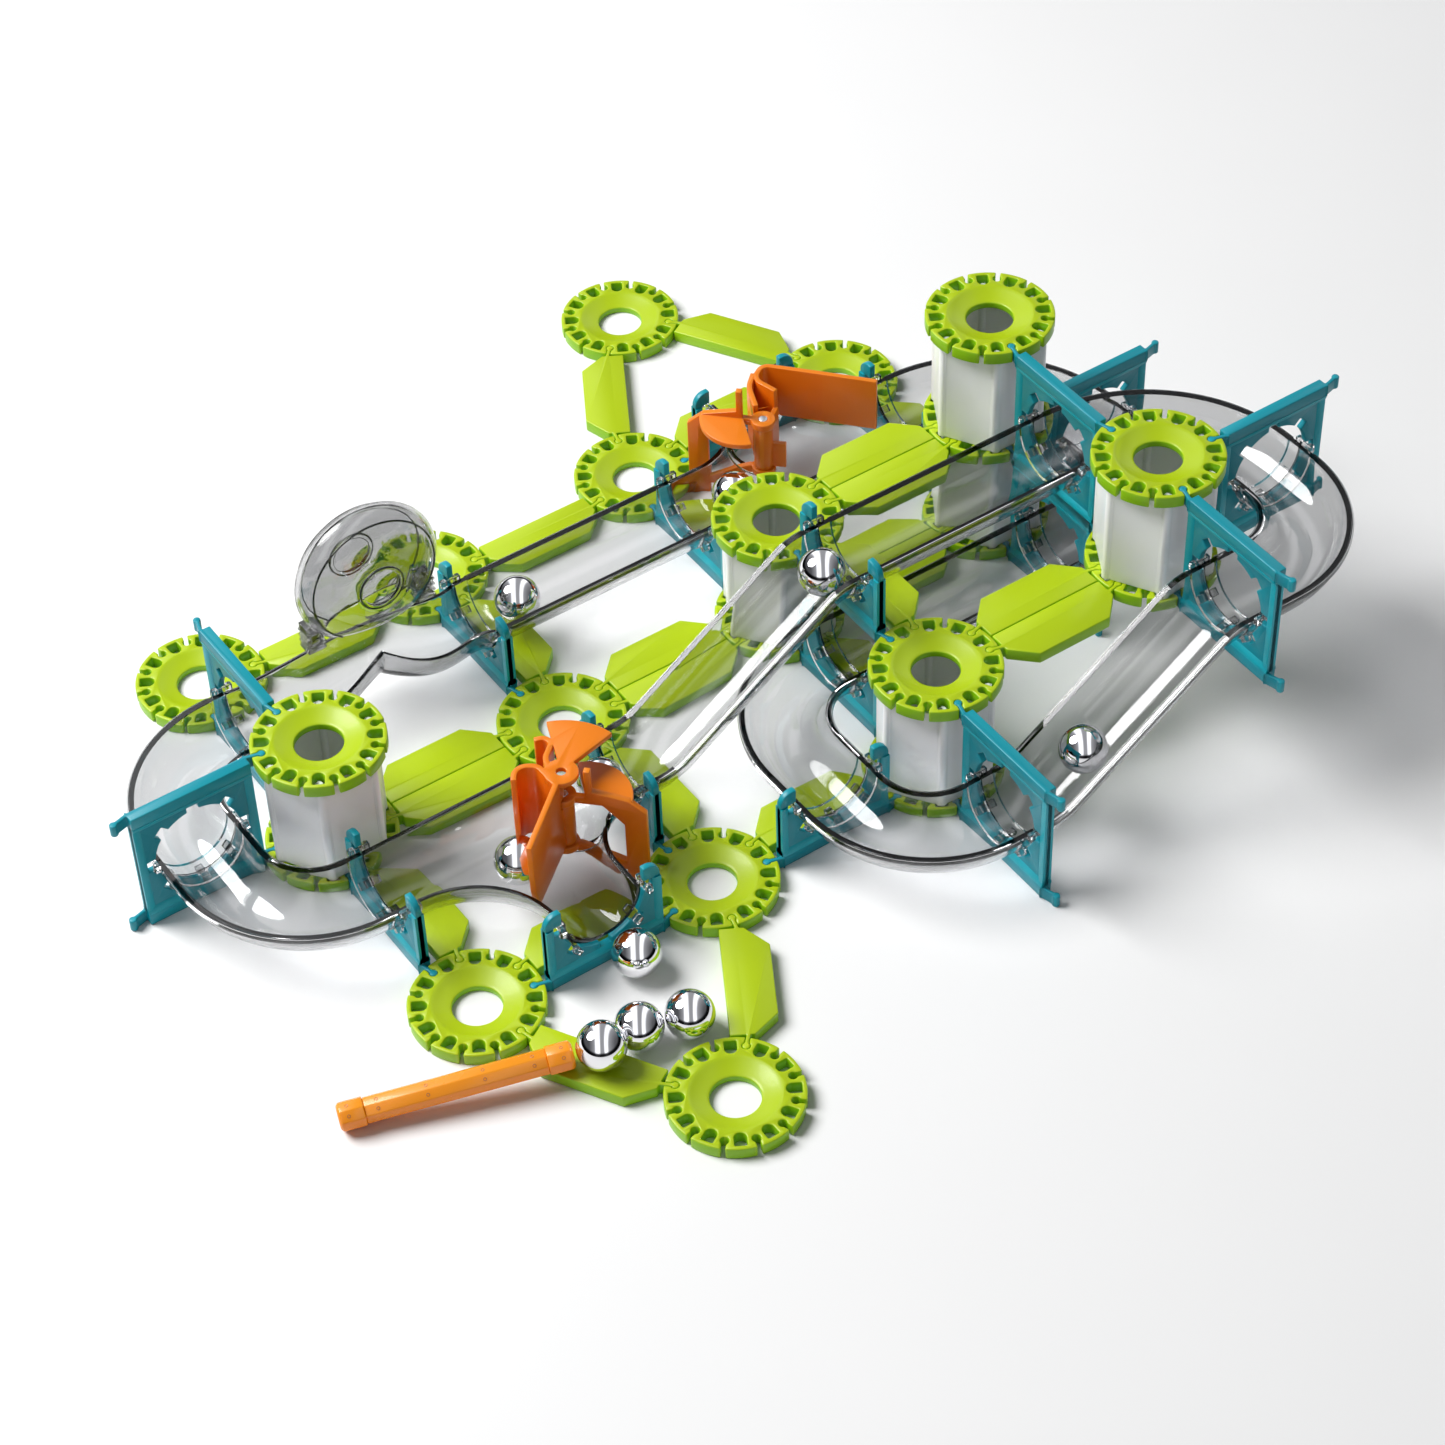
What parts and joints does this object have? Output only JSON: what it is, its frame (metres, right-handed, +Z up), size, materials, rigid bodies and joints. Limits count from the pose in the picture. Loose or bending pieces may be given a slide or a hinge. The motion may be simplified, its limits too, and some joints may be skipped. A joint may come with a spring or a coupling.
{
  "type": "marble run",
  "caption": "Modular toy marble run: round keyed hubs, bars and panels carry clear troughs, bends, slopes, a loop and ball gates on two levels.",
  "frame": {"origin": "axis of the front left hub's bore, on the surface the run stands on", "axes": "+X along the long rows of hubs, +Y towards the back row, +Z up along the hub bores"},
  "size_m": [0.3236, 0.2958, 0.0728],
  "materials": {
    "lime_plastic": "moulded, satin gloss",
    "white_plastic": "moulded, satin gloss",
    "teal_plastic": "moulded, satin gloss",
    "orange_plastic": "moulded, satin gloss",
    "bright_orange_plastic": "moulded, satin gloss",
    "clear_plastic": "clear moulded plastic, polished",
    "chromed_steel": "polished",
    "pin_steel": "drawn rod"
  },
  "bodies": {
    "run_frame": {"bars_back": "lime_plastic", "bars_front": "lime_plastic", "bars_left": "lime_plastic", "bars_middle": "lime_plastic", "bars_right": "lime_plastic", "bars_upper": "lime_plastic", "basin_back": "clear_plastic", "basin_front": "clear_plastic", "bends_j": "clear_plastic", "bends_l": "clear_plastic", "bends_m": "clear_plastic", "bends_n": "clear_plastic", "columns_lower": "white_plastic", "columns_upper": "white_plastic", "gate_bracket_back": "orange_plastic", "gate_bracket_front": "orange_plastic", "gate_pins": "pin_steel", "hub_middle": "lime_plastic", "hubs_back_row": "lime_plastic", "hubs_back_triangle": "lime_plastic", "hubs_front_triangle": "lime_plastic", "loop_drum": "clear_plastic", "loop_track": "clear_plastic", "panels_front": "teal_plastic", "panels_left": "teal_plastic", "panels_middle": "teal_plastic", "panels_right": "teal_plastic", "saddle_loop": "teal_plastic", "saddle_upper": "teal_plastic", "saddles_back_basin": "teal_plastic", "saddles_front_basin": "teal_plastic", "saddles_lower": "teal_plastic", "slope_front": "clear_plastic", "slope_middle": "clear_plastic", "tower_hubs_ground": "lime_plastic", "tower_hubs_middle": "lime_plastic", "tower_hubs_top": "lime_plastic", "trough_back": "clear_plastic", "trough_lower": "clear_plastic", "trough_upper": "clear_plastic"},
    "gate_front": {"gate_front": "orange_plastic"},
    "gate_back": {"gate_back": "orange_plastic"},
    "wand": {"wand_sleeve": "bright_orange_plastic", "wand_caps": "bright_orange_plastic"},
    "ball_basin_back": {"ball_basin_back": "chromed_steel"},
    "ball_basin_east": {"ball_basin_east": "chromed_steel"},
    "ball_basin_middle": {"ball_basin_middle": "chromed_steel"},
    "ball_floor_1": {"ball_floor_1": "chromed_steel"},
    "ball_floor_2": {"ball_floor_2": "chromed_steel"},
    "ball_floor_3": {"ball_floor_3": "chromed_steel"},
    "ball_floor_4": {"ball_floor_4": "chromed_steel"},
    "ball_slope_front": {"ball_slope_front": "chromed_steel"},
    "ball_slope_top": {"ball_slope_top": "chromed_steel"},
    "ball_trough_back": {"ball_trough_back": "chromed_steel"}
  },
  "joints": [
    {"name": "gate_front_turn", "type": "hinge", "parent": "run_frame", "child": "gate_front", "pos_m": [0.04377, 0.02623, 0.02], "axis": [0, 0, 1], "range_deg": [0, 5.5]},
    {"name": "gate_back_turn", "type": "hinge", "parent": "run_frame", "child": "gate_back", "pos_m": [0.16623, 0.11377, 0.02], "axis": [0, 0, 1], "range_deg": [-14, 0]},
    {"name": "ball_trough_back_roll", "type": "slide", "parent": "run_frame", "child": "ball_trough_back", "axis": [1, 0, 0], "range_m": [-0.01, 0.045]},
    {"name": "ball_slope_front_roll", "type": "slide", "parent": "run_frame", "child": "ball_slope_front", "axis": [0.8316, 0, 0.5554], "range_m": [-0.004, 0.022]},
    {"name": "ball_slope_top_roll", "type": "slide", "parent": "run_frame", "child": "ball_slope_top", "axis": [-0.9848, 0, -0.1736], "range_m": [0, 0.006]},
    {"name": "ball_basin_east_roll", "type": "slide", "parent": "run_frame", "child": "ball_basin_east", "axis": [1, 0, 0], "range_m": [-0.001, 0.006]},
    {"name": "ball_basin_middle_roll", "type": "slide", "parent": "run_frame", "child": "ball_basin_middle", "axis": [-0.829, 0.5593, 0], "range_m": [0, 0.018]},
    {"name": "ball_basin_back_roll", "type": "slide", "parent": "run_frame", "child": "ball_basin_back", "axis": [-1, 0, 0], "range_m": [-0.002, 0.012]},
    {"name": "ball_floor_2_roll", "type": "slide", "parent": "run_frame", "child": "ball_floor_2", "axis": [-1, 0, 0], "range_m": [0, 0.006]},
    {"name": "ball_floor_3_roll", "type": "slide", "parent": "run_frame", "child": "ball_floor_3", "axis": [0, 1, 0], "range_m": [0, 0.008]},
    {"name": "ball_floor_4_roll", "type": "slide", "parent": "run_frame", "child": "ball_floor_4", "axis": [0.5, 0.866, 0], "range_m": [0, 0.01]},
    {"name": "ball_floor_1_lift", "type": "slide", "parent": "run_frame", "child": "ball_floor_1", "axis": [0, 0, 1], "range_m": [0, 0.03]},
    {"name": "wand_lift", "type": "slide", "parent": "run_frame", "child": "wand", "axis": [0, 0, 1], "range_m": [0, 0.06]}
  ]
}
